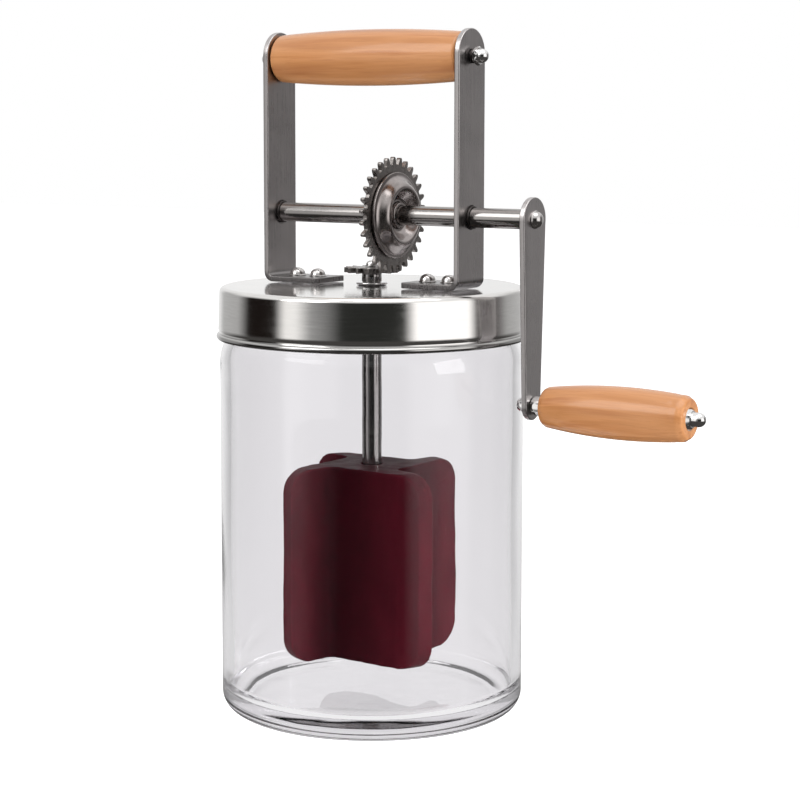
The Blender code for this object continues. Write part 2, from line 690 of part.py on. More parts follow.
def paddle_outline():
    """Plan of the vanes: each has a straight end and a side that slopes to its neighbour's root."""
    past = 2.0
    reach = PADDLE_RADIUS + past
    slope = (VANE_ROOT - VANE_RIGHT) / PADDLE_RADIUS
    outline = []
    for i in range(VANES):
        turn = math.radians(PADDLE_ANGLE + 360 / VANES * i)
        corners = [(reach, VANE_RIGHT + slope * past), (reach, VANE_LEFT + 0.5), (VANE_ROOT, 0)]
        for along, aside in corners:
            x = along * math.cos(turn) - aside * math.sin(turn)
            y = along * math.sin(turn) + aside * math.cos(turn)
            outline.append((x, y))
    return outline


def make_paddle(parts, cutters, paint, beater_axis):
    """Moulded paddle: the vanes' plan cut from a turned blank with rounded corners."""
    middle = (PADDLE_TOP + PADDLE_BOTTOM) / 2
    socket = BEATER_RADIUS + GAP
    floor = PADDLE_TOP - SOCKET_DEPTH
    corner_x = PADDLE_RADIUS - PADDLE_CORNER
    blank = [(socket, floor), (socket, PADDLE_TOP)]
    blank += arc(corner_x, PADDLE_TOP - PADDLE_CORNER, PADDLE_CORNER, 90, 0, 4)
    blank += arc(corner_x, PADDLE_BOTTOM + PADDLE_CORNER, PADDLE_CORNER, 0, -90, 4)
    blank = [(0, floor)] + blank + [(0, PADDLE_BOTTOM)]
    paddle = turned("paddle", blank, paint["paddle"], parts, MID_STEPS * 2)
    place(paddle, beater_axis, 0, 0, 0)
    height = PADDLE_TOP - PADDLE_BOTTOM + 2 * OVERCUT
    plan = plate("paddle_plan", [paddle_outline()], height, paint["paddle"], cutters)
    place(plan, beater_axis, 0, 0, middle)
    combine(paddle, "INTERSECT", plan)


# ---------------------------------------------------------------- assembly

def make_materials():
    return {
        "glass": principled("glass", (0.86, 0.88, 0.88), 0.0, 0.03, 0.25),
        "seal": principled("seal", (0.75, 0.75, 0.73), 0.0, 0.6),
        "polished": principled("polished_steel", (0.72, 0.71, 0.70), 1.0, 0.12),
        "steel": principled("brushed_steel", (0.45, 0.44, 0.43), 1.0, 0.32),
        "bright": principled("bright_steel", (0.80, 0.80, 0.80), 1.0, 0.08),
        "burnished": principled("burnished_steel", (0.30, 0.28, 0.27), 1.0, 0.28),
        "dark": principled("dark_steel", (0.08, 0.07, 0.07), 0.6, 0.4),
        "wood": principled("wood", (0.62, 0.32, 0.13), 0.0, 0.35),
        "paddle": principled("paddle_red", (0.10, 0.012, 0.018), 0.0, 0.4),
    }


def build():
    clear_scene()
    parts = new_collection("butter_churn")
    cutters = new_collection("cutters")
    paint = make_materials()
    lid_axis = axis_empty("lid_axis", LID_TOP, parts)
    crank_axis = axis_empty("crank_axis", SHAFT_Z, parts)
    grip_axis = axis_empty("grip_axis", GRIP_Z, parts)
    beater_axis = axis_empty("beater_axis", LID_TOP, parts)

    make_jar(parts, cutters, paint)
    make_seal(parts, paint)

    make_lid(parts, cutters, paint, lid_axis)
    make_upright(-1, "left_upright", parts, cutters, paint, lid_axis)
    make_upright(1, "right_upright", parts, cutters, paint, lid_axis)
    make_rivets(parts, paint, lid_axis)
    make_shaft_bush("left_shaft_bush", -STAND_X + BAR, parts, paint, lid_axis)
    make_shaft_bush("right_shaft_bush", STAND_X, parts, paint, lid_axis)
    make_handle(parts, cutters, paint, lid_axis)
    make_lid_bush(parts, paint, lid_axis)

    make_crank_shaft(parts, paint, crank_axis)
    make_drive_gear(parts, paint, crank_axis)
    make_gear_dish(parts, paint, crank_axis)
    make_gear_hub(parts, paint, crank_axis)
    make_crank_arm(parts, paint, crank_axis)
    make_crank_rivet(parts, paint, crank_axis)
    make_grip_pin(parts, cutters, paint, crank_axis)
    make_crank_grip(parts, paint, grip_axis)

    make_beater_shaft(parts, paint, beater_axis)
    make_pinion(parts, paint, beater_axis)
    make_paddle(parts, cutters, paint, beater_axis)


build()
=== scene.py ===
"""Looks of the hand-cranked butter churn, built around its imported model.

Shapes are in millimetres.  Materials, lights, the floor and the camera are in metres, and so are names
that end in _M.  Each visible piece is rebuilt as a fine mesh in the place that its CAD node holds, rides
on the same body, and gets a procedural material.
"""
import math

import bmesh
import bpy
from mathutils import Matrix, Vector, noise


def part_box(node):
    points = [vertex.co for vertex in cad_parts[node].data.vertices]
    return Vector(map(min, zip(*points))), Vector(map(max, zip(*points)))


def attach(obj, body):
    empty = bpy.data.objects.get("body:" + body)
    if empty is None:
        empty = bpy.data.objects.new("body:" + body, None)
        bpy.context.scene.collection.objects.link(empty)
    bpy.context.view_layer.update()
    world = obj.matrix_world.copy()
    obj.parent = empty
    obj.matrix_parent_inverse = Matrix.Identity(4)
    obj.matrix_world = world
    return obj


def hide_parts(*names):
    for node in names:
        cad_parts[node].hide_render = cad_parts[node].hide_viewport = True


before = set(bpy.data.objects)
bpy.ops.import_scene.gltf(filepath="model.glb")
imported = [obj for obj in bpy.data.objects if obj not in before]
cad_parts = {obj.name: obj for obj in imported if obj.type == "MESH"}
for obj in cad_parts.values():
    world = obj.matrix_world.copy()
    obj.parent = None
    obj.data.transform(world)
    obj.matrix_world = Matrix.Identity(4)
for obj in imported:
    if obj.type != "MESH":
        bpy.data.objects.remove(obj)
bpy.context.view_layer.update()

MM = 0.001
FINE = 192                     # facets round the jar and the lid
ROUND = 96                     # facets round the grips, the wheel's dish and the shafts
SMALL = 72                     # facets round rivets and nuts, a multiple of six
SMOOTH_ANGLE = math.radians(38)
ALONG_X = Matrix.Rotation(math.radians(90), 4, "Y")
UPRIGHT = Matrix.Identity(4)

# Jar
GLASS_WALL = 3.5
HEEL = 6.5                     # radius of the rounded lower edge
SHOULDER_Z = 124.0             # where the wall starts to turn in
SHOULDER_R = 19.0
SHOULDER_TURN = 42.0           # degrees that the wall turns before it becomes the neck
FLOOR_Z = 7.2                  # the floor's height inside

# Jar's thread ridges
RIDGES = 4
RIDGE_Z = 142.0
RIDGE_RISE = 3.0
RIDGE_SPAN = 58.0              # degrees
RIDGE_HALF = 1.15              # half of a ridge's height
RIDGE_ZONE = (138.0, 147.5)    # heights between which the neck is plain but for its ridges

# Sheet and bar
SHEET = 0.8
BAR = 2.0
BAR_WIDTH = 17.2
BEND = 3.5
EDGE = 0.35                    # rounding of a stamped plate's edges

# Rivets and nuts
RIVET_BRIM = 3.1
RIVET_DOME = 2.75
RIVET_SHANK = 1.8
RIVET_HOLE = 2.1
RIVET_GAP = 0.02               # between a plate and the rivet's brim
PIN_HOLE = 1.8
NUT_CORNER = 3.25              # from the middle to a corner of the hexagon
NUT_DOME = 2.4
NUT_BORE = 1.75

# Crank
SHAFT_RADIUS = 3.4
SHAFT_GROOVE = 2.9
SHAFT_BORE = 3.56
SHAFT_HOLE = 4.02              # the uprights' holes, which hold the bushes
RING_BORE = 3.1
WHEEL_TEETH = 30
WHEEL_ROOT = 17.6
WHEEL_TIP = 20.3
WHEEL_TOOTH = (2.3, 1.6, 0.8)  # tooth widths at the root, shoulder and tip
WHEEL_HOLE = 4.9
TOOTH_EDGE = 0.16
DISH_RIM = 15.0
DISH_CREST = 9.7               # radius of the bulge's crest
DISH_SPREAD = 4.5              # how far the bulge reaches from its crest
DISH_SHEET = 0.9

# Wooden grips
HANDLE_END = 8.4               # radius of the carrying grip's ends
GRIP_START = 6.7               # radius of the crank's grip next to the arm
GRIP_GROWTH = 0.7              # how much thicker its outer end is
GRIP_CROWN = 1.8               # how far its middle stands out
GRIP_BORE = 2.2
GRIP_RECESS = 3.7
GRIP_RECESS_DEPTH = 2.2

# Beater
POST_RADIUS = 3.5
POST_GROOVE = 3.0
POST_BORE = 3.66
SPIGOT = 1.2
COLLAR_BORE = 3.25
PINION_TEETH = 14
PINION_ROOT = 6.7
PINION_TIP = 9.8
PINION_TOOTH = (1.5, 1.25, 0.7)
PINION_HOLE = 1.5
PADDLE_RADIUS = 34.8
PADDLE_CORNER = 9.0
PADDLE_SOCKET = 3.8
PADDLE_SOCKET_DEPTH = 38.0
VANES = 4
VANE_TURN = -26.5              # degrees from +X to the first vane
VANE_END = 34.5
VANE_REACH = 37.0              # the plan's reach, past the vanes' ends
VANE_ROOT = 16.5               # how far out the sloping side of the next vane starts
VANE_ROOT_ROUND = 3.2
VANE_FRONT = 4.7               # the straight side, from the line through the axis
VANE_BACK = 2.0                # the sloping side at the vane's end, from the same line

# Camera, fitted to the photograph's outlines
CAMERA_TURN = 33.4995          # degrees round the object
CAMERA_PITCH = 6.807
CAMERA_AWAY_M = 0.757569
CAMERA_HEIGHT_M = 0.212525
CAMERA_LENS = 96.84
CAMERA_SHIFT = (0.03523, -0.04167)

boxes = {}                     # the CAD boxes that were already asked for


def box(node):
    """Lowest and highest corner of a CAD node, in millimetres."""
    if node not in boxes:
        low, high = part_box(node)
        boxes[node] = (low / MM, high / MM)
    return boxes[node]


def middle(node):
    low, high = box(node)
    return (low + high) / 2


# ---------------------------------------------------------------- shapes

def arc(cx, cy, radius, start, end, pieces):
    turns = [math.radians(start + (end - start) * i / pieces) for i in range(pieces + 1)]
    return [(cx + radius * math.cos(t), cy + radius * math.sin(t)) for t in turns]


def circle(radius, pieces, cx=0.0, cy=0.0):
    return arc(cx, cy, radius, 0, 360, pieces)[:-1]


def filleted(points, closed=False, pieces=5):
    """Rounds the corners of an outline of (x, y) or (x, y, radius)."""
    out = []
    count = len(points)
    for i, point in enumerate(points):
        here = Vector(point[:2])
        radius = point[2] if len(point) > 2 else 0.0
        if radius <= 0 or (not closed and i in (0, count - 1)):
            out.append(tuple(here))
            continue
        back = Vector(points[i - 1][:2]) - here
        ahead = Vector(points[(i + 1) % count][:2]) - here
        half = back.angle(ahead) / 2
        if half > math.radians(88):
            out.append(tuple(here))
            continue
        cut = min(radius / math.tan(half), 0.48 * back.length, 0.48 * ahead.length)
        radius = cut * math.tan(half)
        back.normalize()
        ahead.normalize()
        centre = here + (back + ahead).normalized() * (radius / math.sin(half))
        first = (here + back * cut) - centre
        last = (here + ahead * cut) - centre
        for k in range(pieces + 1):
            way = first.slerp(last, k / pieces) * radius
            out.append(tuple(centre + way))
    return out


def lathe(profile, steps, ring=False, shape=None):
    """Turns (radius, height) about Z; shape(radius, height, angle) may change the radius."""
    form = bmesh.new()
    rows = []
    for radius, height in profile:
        if radius < 1e-6:
            rows.append([form.verts.new((0, 0, height))])
            continue
        row = []
        for i in range(steps):
            turn = 2 * math.pi * i / steps
            r = shape(radius, height, turn) if shape else radius
            row.append(form.verts.new((r * math.cos(turn), r * math.sin(turn), height)))
        rows.append(row)
    pairs = list(zip(rows, rows[1:]))
    if ring:
        pairs.append((rows[-1], rows[0]))
    for upper, lower in pairs:
        for i in range(steps):
            j = (i + 1) % steps
            corners = [upper[i % len(upper)], lower[i % len(lower)], lower[j % len(lower)],
                       upper[j % len(upper)]]
            unique = list(dict.fromkeys(corners))
            if len(unique) > 2:
                form.faces.new(unique)
    return form


def plate(outlines, thickness, edge):
    """A flat plate in XY with rounded edges; outlines after the first are holes."""
    curve = bpy.data.curves.new("plate", "CURVE")
    curve.dimensions = "2D"
    curve.fill_mode = "BOTH"
    curve.extrude = thickness / 2 - edge
    curve.bevel_depth = edge
    curve.bevel_resolution = 2
    curve.offset = -edge
    for outline in outlines:
        spline = curve.splines.new("POLY")
        spline.points.add(len(outline) - 1)
        for point, (x, y) in zip(spline.points, outline):
            point.co = (x, y, 0.0, 1.0)
        spline.use_cyclic_u = True
    blank = bpy.data.objects.new("plate", curve)
    bpy.context.scene.collection.objects.link(blank)
    graph = bpy.context.evaluated_depsgraph_get()
    mesh = bpy.data.meshes.new_from_object(blank.evaluated_get(graph))
    bpy.data.objects.remove(blank, do_unlink=True)
    form = bmesh.new()
    form.from_mesh(mesh)
    bpy.data.meshes.remove(mesh)
    bmesh.ops.remove_doubles(form, verts=form.verts, dist=0.002)
    return form


def piece(name, form, matrix, material, body, nodes, flat_sides=False):
    """Makes the object, puts it on its body and lets it stand for its CAD nodes."""
    bmesh.ops.transform(form, matrix=Matrix.Scale(MM, 4) @ matrix, verts=form.verts)
    bmesh.ops.recalc_face_normals(form, faces=form.faces)
    mesh = bpy.data.meshes.new(name)
    form.to_mesh(mesh)
    form.free()
    mesh.shade_smooth()
    mesh.set_sharp_from_angle(angle=SMOOTH_ANGLE)
    mesh.materials.append(material)
    obj = bpy.data.objects.new(name, mesh)
    bpy.context.scene.collection.objects.link(obj)
    if flat_sides:
        weigh = obj.modifiers.new("weighted", "WEIGHTED_NORMAL")
        weigh.keep_sharp = True
        weigh.weight = 100
    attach(obj, body)
    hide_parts(*nodes)
    return obj


# ---------------------------------------------------------------- materials

class Nodes:
    """Short calls for one node tree."""

    def __init__(self, tree, material=None):
        self.tree = tree
        self.material = material
        self.shader = tree.nodes.get("Principled BSDF")

    def add(self, kind, inputs=None, **props):
        node = self.tree.nodes.new("ShaderNode" + kind)
        for key, value in props.items():
            setattr(node, key, value)
        for key, value in (inputs or {}).items():
            self.feed(node.inputs[key], value)
        return node

    def feed(self, socket, value):
        if isinstance(value, bpy.types.NodeSocket):
            self.tree.links.new(value, socket)
        elif isinstance(value, tuple) and len(value) == 3 and socket.type == "RGBA":
            socket.default_value = (*value, 1.0)
        else:
            socket.default_value = value

    def set(self, **values):
        for key, value in values.items():
            self.feed(self.shader.inputs[key.replace("_", " ")], value)

    def place(self, scale=(1, 1, 1), shift=(0, 0, 0), turn=(0, 0, 0)):
        source = self.add("TexCoord").outputs["Object"]
        return self.add("Mapping", {"Vector": source, "Scale": scale, "Location": shift,
                                    "Rotation": turn}).outputs["Vector"]

    def noise(self, vector, scale, detail=3.0, rough=0.5, distort=0.0):
        return self.add("TexNoise", {"Vector": vector, "Scale": scale, "Detail": detail,
                                     "Roughness": rough, "Distortion": distort}).outputs["Fac"]

    def ramp(self, factor, stops, smooth=False):
        node = self.add("ValToRGB", {"Fac": factor})
        ramp = node.color_ramp
        ramp.interpolation = "EASE" if smooth else "LINEAR"
        while len(ramp.elements) < len(stops):
            ramp.elements.new(0.5)
        for element, (where, colour) in zip(ramp.elements, stops):
            element.position = where
            colour = (colour,) * 3 if isinstance(colour, (int, float)) else colour
            element.color = (*colour, 1.0)
        return node.outputs["Color"]

    def math(self, operation, a, b=0.0, c=0.0):
        node = self.add("Math", operation=operation)
        for socket, value in zip(node.inputs, (a, b, c)):
            self.feed(socket, value)
        return node.outputs["Value"]

    def span(self, value, low, high, to_low, to_high):
        return self.add("MapRange", {"Value": value, "From Min": low, "From Max": high, "To Min": to_low,
                                     "To Max": to_high}).outputs["Result"]

    def mix(self, factor, a, b, blend="MIX"):
        node = self.add("Mix", data_type="RGBA", blend_type=blend)
        for index, value in ((0, factor), (6, a), (7, b)):
            self.feed(node.inputs[index], value)
        return node.outputs[2]

    def bump(self, height, distance, strength=1.0, under=None):
        node = self.add("Bump", {"Height": height, "Distance": distance, "Strength": strength})
        if under:
            self.feed(node.inputs["Normal"], under)
        return node.outputs["Normal"]


def surface(name):
    """A new material, with the calls for its node tree."""
    material = bpy.data.materials.new(name)
    material.use_nodes = True
    return Nodes(material.node_tree, material)


def brushed(name, colour, roughness, stretch, depth=0.00001, contrast=0.14, smudge=0.08, spread=0.10,
            painted_shade_below=None):
    """Metal with fine lines; stretch is how fast the lines change along X, Y and Z.

    The last argument holds a height in millimetres, the rise over which the metal brightens, and the shade
    below it: painted shade, darker towards the bottom.
    """
    n = surface(name)
    lines = n.noise(n.place(stretch), 1.0, 4.0, 0.6)
    broad = n.noise(n.place((60, 60, 60)), 1.0, 3.0, 0.55)
    pits = n.noise(n.place((900, 900, 900)), 1.0, 2.0, 0.5)
    shade = n.span(lines, 0.3, 0.7, 1 - contrast, 1 + contrast)
    shade = n.math("MULTIPLY", shade, n.span(broad, 0.3, 0.7, 1 - smudge, 1 + smudge))
    # Painted shade: below the given height the colour is darkened.
    if painted_shade_below:
        start, rise, low_shade = painted_shade_below
        height = n.add("SeparateXYZ", {"Vector": n.place()}).outputs["Z"]
        shade = n.math("MULTIPLY", shade, n.span(height, start * MM, (start + rise) * MM, low_shade, 1.0))
    tone = n.add("CombineColor")
    for socket, part in zip(tone.inputs, colour):
        n.feed(socket, n.math("MULTIPLY", shade, part))
    rough = n.math("ADD", n.span(lines, 0.3, 0.7, -spread / 2, spread / 2),
                   n.span(broad, 0.3, 0.7, roughness - spread / 3, roughness + spread / 3))
    height = n.math("ADD", lines, n.math("MULTIPLY", pits, 0.35))
    n.set(Base_Color=tone.outputs["Color"], Metallic=1.0, Roughness=rough, Normal=n.bump(height, depth))
    return n.material


def glass():
    """Clear, slightly rippled glass that lets light through its shadow."""
    n = surface("jar_glass")
    ripple = n.noise(n.place((28, 28, 12)), 1.0, 2.0, 0.5)
    seeds = n.noise(n.place((160, 160, 110)), 1.0, 1.0, 0.4)
    height = n.math("ADD", ripple, n.math("MULTIPLY", seeds, 0.04))
    smear = n.span(n.noise(n.place((45, 45, 25)), 1.0, 3.0, 0.6), 0.35, 0.7, 0.0, 0.03)
    n.set(Base_Color=(0.945, 0.940, 0.950), Roughness=smear, IOR=1.42, Normal=n.bump(height, 0.0004, 0.5))
    n.set(Transmission_Weight=1.0, Specular_Tint=(0.5, 0.5, 0.5))
    clear = n.add("BsdfTransparent", {"Color": (0.93, 0.945, 0.94)})
    shadow = n.add("LightPath").outputs["Is Shadow Ray"]
    both = n.add("MixShader", {0: shadow, 1: n.shader.outputs[0], 2: clear.outputs[0]})
    n.tree.links.new(both.outputs[0], n.tree.nodes["Material Output"].inputs["Surface"])
    depth = n.add("VolumeAbsorption", {"Color": (0.80, 0.79, 0.81), "Density": 9.0})
    n.tree.links.new(depth.outputs[0], n.tree.nodes["Material Output"].inputs["Volume"])
    return n.material


def varnished_wood(name, shift):
    """Straight-grained beech under a clear varnish; the grain runs along X."""
    n = surface(name)
    place = n.place((6, 170, 170), shift)
    warp = n.noise(n.place((20, 60, 60), shift), 1.0, 2.0, 0.5)
    rings = n.noise(place, 1.0, 4.0, 0.55, 0.6)
    broad = n.noise(n.place((22, 40, 40), shift), 1.0, 2.0, 0.5)
    flecks = n.noise(n.place((70, 1300, 1300), shift), 1.0, 2.0, 0.6)
    pores = n.noise(n.place((60, 2600, 2600), shift), 1.0, 3.0, 0.7)
    base = n.ramp(rings, [(0.30, (0.38, 0.128, 0.036)), (0.43, (0.50, 0.205, 0.066)),
                          (0.53, (0.60, 0.265, 0.100)), (0.60, (0.49, 0.190, 0.062)),
                          (0.72, (0.42, 0.150, 0.044))])
    base = n.mix(n.span(broad, 0.35, 0.7, 0.0, 0.45), base, (0.58, 0.275, 0.120))
    base = n.mix(n.span(flecks, 0.58, 0.74, 0.0, 0.28), base, (0.33, 0.105, 0.030))
    base = n.mix(n.span(warp, 0.60, 0.78, 0.0, 0.30), base, (0.42, 0.150, 0.048))
    height = n.math("ADD", pores, n.math("MULTIPLY", rings, 0.6))
    n.set(Base_Color=base, Roughness=n.span(pores, 0.3, 0.7, 0.30, 0.44), Normal=n.bump(height, 0.00003))
    n.set(Coat_Weight=0.55, Coat_Roughness=0.10, Specular_IOR_Level=0.3)
    return n.material


def burgundy():
    """Matt plastic, paler in streaks, with painted highlights along its edges and painted shade in the
    hollows near the axis.
    """
    n = surface("paddle_plastic")
    cloud = n.noise(n.place((55, 55, 30)), 1.0, 4.0, 0.6)
    streak = n.noise(n.place((260, 260, 18)), 1.0, 3.0, 0.6)
    grain = n.noise(n.place((1500, 1500, 1500)), 1.0, 2.0, 0.6)
    edge = n.add("NewGeometry").outputs["Pointiness"]
    base = n.ramp(cloud, [(0.32, (0.056, 0.0030, 0.0085)), (0.52, (0.076, 0.0045, 0.0115)),
                          (0.72, (0.100, 0.0080, 0.0165))])
    base = n.mix(n.span(streak, 0.55, 0.75, 0.0, 0.30), base, (0.125, 0.014, 0.024))
    # Painted highlight: sharp edges are mixed towards a paler red.
    base = n.mix(n.span(edge, 0.515, 0.60, 0.0, 0.55), base, (0.165, 0.024, 0.036))
    # Painted shade: the colour darkens towards the axis, in the hollows between the vanes.
    reach = n.add("VectorMath", {0: n.place((1, 1, 0))}, operation="LENGTH").outputs["Value"]
    base = n.mix(n.span(reach, 0.015, 0.031, 0.80, 0.0), base, (0.018, 0.0008, 0.0028))
    rough = n.span(cloud, 0.3, 0.7, 0.38, 0.52)
    height = n.math("ADD", grain, n.math("MULTIPLY", cloud, 2.5))
    n.set(Base_Color=base, Roughness=rough, Normal=n.bump(height, 0.00002, 0.8), Specular_IOR_Level=0.03)
    return n.material


def rubber():
    n = surface("seal_rubber")
    dust = n.noise(n.place((220, 220, 220)), 1.0, 3.0, 0.6)
    base = n.ramp(dust, [(0.3, (0.62, 0.61, 0.58)), (0.7, (0.74, 0.73, 0.70))])
    n.set(Base_Color=base, Roughness=0.55, Normal=n.bump(dust, 0.00004), Subsurface_Weight=0.1)
    return n.material


LOOKS = {
    "glass": glass(),
    "seal": rubber(),
    # The lid's rolled bead gets painted shade: its colour darkens towards the bottom of the lid.
    "skirt": brushed("lid_steel", (0.80, 0.785, 0.765), 0.13, (120, 120, 2600), 0.000004, 0.05, 0.04,
                     0.05, (box("lid_shell")[0].z + 2.3, 0.5, 0.55)),
    # The bars' feet get painted shade: the colour darkens towards the bottom, next to the lid.
    "bars": brushed("bar_steel", (0.48, 0.455, 0.45), 0.30, (1900, 1900, 45), 0.000004, 0.05,
                    painted_shade_below=(box("left_upright")[0].z + BAR + 0.1, 2.0, 0.42)),
    "arm": brushed("arm_steel", (0.50, 0.475, 0.47), 0.30, (1900, 1900, 45), 0.000004, 0.05),
    "shaft": brushed("shaft_steel", (0.33, 0.315, 0.305), 0.15, (1500, 300, 300), 0.000002, 0.06),
    "post": brushed("post_steel", (0.36, 0.345, 0.34), 0.15, (300, 300, 1300), 0.000002, 0.06),
    "bright": brushed("bright_steel", (0.84, 0.83, 0.82), 0.09, (700, 700, 700), 0.000006, 0.06, 0.04,
                      0.05),
    "rivet": brushed("rivet_steel", (0.58, 0.56, 0.55), 0.14, (700, 700, 700), 0.000006, 0.10, 0.08,
                     0.05),
    "gear": brushed("gear_steel", (0.29, 0.270, 0.258), 0.32, (900, 900, 900), 0.00002, 0.22, 0.16, 0.14),
    "dish": brushed("dish_steel", (0.38, 0.345, 0.335), 0.22, (900, 260, 260), 0.00001, 0.16, 0.14, 0.10),
    "dark": brushed("dark_steel", (0.10, 0.09, 0.088), 0.36, (800, 800, 800)),
    "handle_wood": varnished_wood("handle_wood", (0, 0, 0)),
    "grip_wood": varnished_wood("grip_wood", (0.7, 1.3, 0.4)),
    "paddle": burgundy(),
}


# ---------------------------------------------------------------- jar

def neck_radius(wall):
    start = box("glass_jar")[1].x - SHOULDER_R
    return start + (SHOULDER_R - wall) * math.cos(math.radians(SHOULDER_TURN))


def ridge_height(height, turn):
    """How far the slanted thread ridges stand out at a height and an angle."""
    span = math.radians(RIDGE_SPAN)
    best = 0.0
    for i in range(RIDGES):
        along = ((turn - 2 * math.pi / RIDGES * i) % (2 * math.pi)) / span
        if along > 1:
            continue
        away = (height - RIDGE_Z - RIDGE_RISE * along) / RIDGE_HALF
        taper = min(1.0, along / 0.12, (1 - along) / 0.12)
        if abs(away) < 1 and taper > 0:
            best = max(best, math.sqrt(1 - away * away) * math.sqrt(taper))
    return best


def make_jar():
    high = box("glass_jar")[1]
    outer = high.x
    shoulder = outer - SHOULDER_R
    inner_heel = HEEL - 1.5
    rim_r = (neck_radius(0) - neck_radius(GLASS_WALL)) / 2
    rim_mid = (neck_radius(0) + neck_radius(GLASS_WALL)) / 2
    inside = [(0, FLOOR_Z + 0.8), (8, FLOOR_Z + 0.75), (16, FLOOR_Z + 0.62), (26, FLOOR_Z + 0.42)]
    inside += [(34, FLOOR_Z + 0.2), (40, FLOOR_Z + 0.05)]
    inside += arc(outer - GLASS_WALL - inner_heel, FLOOR_Z + inner_heel, inner_heel, -90, 0, 14)
    wall_start = FLOOR_Z + inner_heel
    inside += [(outer - GLASS_WALL, wall_start + (SHOULDER_Z - wall_start) * i / 26)
               for i in range(1, 26)]
    inside += arc(shoulder, SHOULDER_Z, SHOULDER_R - GLASS_WALL, 0, SHOULDER_TURN, 10)
    neck_start = SHOULDER_Z + SHOULDER_R * math.sin(math.radians(SHOULDER_TURN))
    rim_z = high.z - rim_r
    rim = arc(rim_mid, rim_z, rim_r, 180, 0, 12)
    neck = [(neck_radius(0), rim_z + (neck_start - rim_z) * i / 22) for i in range(1, 22)]
    outside = arc(shoulder, SHOULDER_Z, SHOULDER_R, SHOULDER_TURN, 0, 10)
    outside += [(outer, SHOULDER_Z + (HEEL - SHOULDER_Z) * i / 26) for i in range(1, 26)]
    outside += arc(outer - HEEL, HEEL, HEEL, 0, -90, 14)
    ring = outer - HEEL
    foot = [(ring - 1.5, 0), (ring - 3, 0.25), (ring - 6, 0.5), (20, 0.6), (0, 0.6)]
    neck_outer = neck_radius(0)

    def shape(radius, height, turn):
        x, y = math.cos(turn), math.sin(turn)
        if radius < outer - 6 and height < 12:
            return radius
        wave = noise.noise(Vector((x * 1.3, y * 1.3, height / 38)))
        if radius < outer - 2.0 and 12 < height < SHOULDER_Z:
            return radius - 0.16 * (1 + wave)
        if radius > neck_outer - 0.01 and RIDGE_ZONE[0] < height < RIDGE_ZONE[1]:
            return radius + ridge_height(height, turn)
        return radius - 0.03 * (1 + wave)

    form = lathe(inside + rim + neck + outside + foot, FINE, shape=shape)
    piece("jar", form, UPRIGHT, LOOKS["glass"], "jar", ["glass_jar"])


def make_gasket():
    low, high = box("lid_gasket")
    inner = neck_radius(GLASS_WALL) - 0.5
    edge = 0.25
    corners = [(inner, high.z, edge), (high.x, high.z, edge), (high.x, low.z, edge), (inner, low.z, edge)]
    form = lathe(filleted(corners, True), FINE, True)
    piece("gasket", form, UPRIGHT, LOOKS["seal"], "gasket", ["lid_gasket"])


# ---------------------------------------------------------------- lid and stand

def make_lid():
    low, high = box("lid_shell")
    bead_outer = high.x
    skirt = bead_outer - 0.7
    top_r = skirt - 0.4
    top, bottom = high.z, low.z
    hole = 5.2
    bead = 1.1
    bead_z = bottom + bead
    bead_x = bead_outer - bead
    lid_edge = 2.0
    outside = [(hole, top), (hole + 8, top), (top_r - 14, top), (top_r - 9, top - 0.02)]
    outside += arc(top_r - lid_edge, top - lid_edge, lid_edge, 90, 0, 12)
    start = top - lid_edge
    groove_z = bead_z + bead + 0.55
    outside += [(top_r + (skirt - top_r) * i / 10, start + (groove_z + 0.8 - start) * i / 10)
                for i in range(1, 11)]
    outside += [(skirt - 0.28, groove_z + 0.25), (skirt - 0.30, groove_z)]
    roll = arc(bead_x, bead_z, bead, 70, -150, 16)
    inside = [(skirt - SHEET - 0.3, groove_z)]
    inside += [(skirt - SHEET, groove_z + 0.9)]
    inside += arc(top_r - lid_edge, top - lid_edge, lid_edge - SHEET, 0, 90, 8)
    inside += [(top_r - 9, top - SHEET), (hole, top - SHEET)]
    form = lathe(outside + roll + inside, FINE, True)
    lid = piece("lid", form, UPRIGHT, LOOKS["skirt"], "lid", ["lid_shell"])
    lid.visible_glossy = False


def upright_shape(side):
    """A bar with a rounded top, bent into a foot; the flat blank lies along its own X first."""
    node = "right_upright" if side > 0 else "left_upright"
    low, high = box(node)
    outer_x = max(abs(low.x), abs(high.x))
    foot_x = min(abs(low.x), abs(high.x))
    bottom = low.z
    bend_x, bend_z = outer_x - BEND, bottom + BEND
    mid_r = BEND - BAR / 2
    flat = bend_x - foot_x
    turn_length = math.pi / 2 * mid_r
    up = high.z - bend_z
    total = flat + turn_length + up
    half = BAR_WIDTH / 2
    shaft_s = flat + turn_length + middle("crank_shaft").z - bend_z
    handle_s = flat + turn_length + middle("handle_rod").z - bend_z
    outline = [(0, -half, 1.2), (total - half, -half)] + arc(total - half, 0, half, -90, 90, 40)[1:-1]
    outline += [(total - half, half), (0, half, 1.2)]
    outline = filleted(outline, True)
    rivets = [abs(middle(f"foot_rivet_{'right' if side > 0 else 'left'}_{w}").x) - foot_x
              for w in ("inner", "outer")]
    holes = [circle(SHAFT_HOLE, 64, shaft_s), circle(PIN_HOLE, 24, handle_s)]
    holes += [circle(RIVET_HOLE, 24, s) for s in rivets]
    form = plate([outline] + holes, BAR, EDGE)
    for k in range(11):
        s = flat + turn_length * k / 10
        everything = list(form.verts) + list(form.edges) + list(form.faces)
        bmesh.ops.bisect_plane(form, geom=everything, plane_co=(s, 0, 0), plane_no=(1, 0, 0), dist=0.0005)
    for vert in form.verts:
        s, v, w = vert.co
        if s <= flat:
            x, z = foot_x + s, bottom + BAR / 2 - w
        elif s <= flat + turn_length:
            angle = (s - flat) / mid_r
            x, z = bend_x + (mid_r + w) * math.sin(angle), bend_z - (mid_r + w) * math.cos(angle)
        else:
            x, z = bend_x + mid_r + w, bend_z + s - flat - turn_length
        vert.co = (side * x, v, z)
    return form


